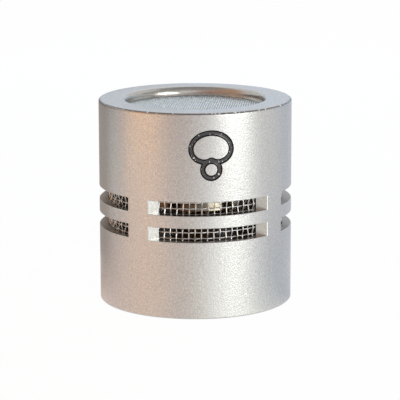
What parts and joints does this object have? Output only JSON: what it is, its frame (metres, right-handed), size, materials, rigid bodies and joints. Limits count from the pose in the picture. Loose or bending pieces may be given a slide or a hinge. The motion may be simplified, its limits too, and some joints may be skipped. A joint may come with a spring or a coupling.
{
  "type": "condenser microphone capsule",
  "caption": "Screw-on condenser microphone capsule: turned metal cylinder with a mesh front, slotted sides backed by woven wire and a threaded rear socket with a centre contact",
  "frame": {"origin": "centre of the rear face, which the capsule stands on", "axes": "+Z along the capsule's axis, out of the front grille; -Y towards the engraved pickup-pattern mark"},
  "size_m": [0.024, 0.024, 0.0253],
  "materials": {
    "satin_nickel": "bead-blasted satin nickel plate, polished front lip",
    "mark_enamel": "dark enamel in the engraving",
    "fine_mesh": "fine plain-woven wire cloth",
    "coarse_mesh": "plain-woven wire cloth",
    "nickel": "turned nickel-plated brass",
    "brass": "turned brass",
    "polished_brass": "polished brass",
    "dark_brass": "plain brass",
    "screw_steel": "plated steel screws",
    "gold_film": "gold-sputtered polyester film",
    "spacer_film": "amber polymer film",
    "ivory_plastic": "turned insulating plastic",
    "silk": "fine damping cloth",
    "gold_plate": "gold-plated brass contact",
    "spring_bronze": "bronze spring wire",
    "brown_laminate": "brown phenolic laminate"
  },
  "bodies": {
    "root": {"housing": "satin_nickel", "pattern_mark": "mark_enamel", "front_grille": "fine_mesh", "side_screen": "coarse_mesh", "grille_ring": "nickel", "clamp_ring": "brass", "clamp_screws": "screw_steel", "diaphragm": "gold_film", "diaphragm_spacer": "spacer_film", "backplate": "brass", "backplate_holder": "ivory_plastic", "damping_silk": "silk", "phase_plate": "dark_brass", "rear_cup": "polished_brass", "terminal_screw": "gold_plate", "cartridge_lock_ring": "nickel", "contact_spring": "spring_bronze", "contact_nut": "gold_plate", "contact_washer": "nickel", "contact_insulator": "brown_laminate", "contact_pin": "gold_plate", "contact_lock_ring": "nickel"}
  },
  "joints": []
}
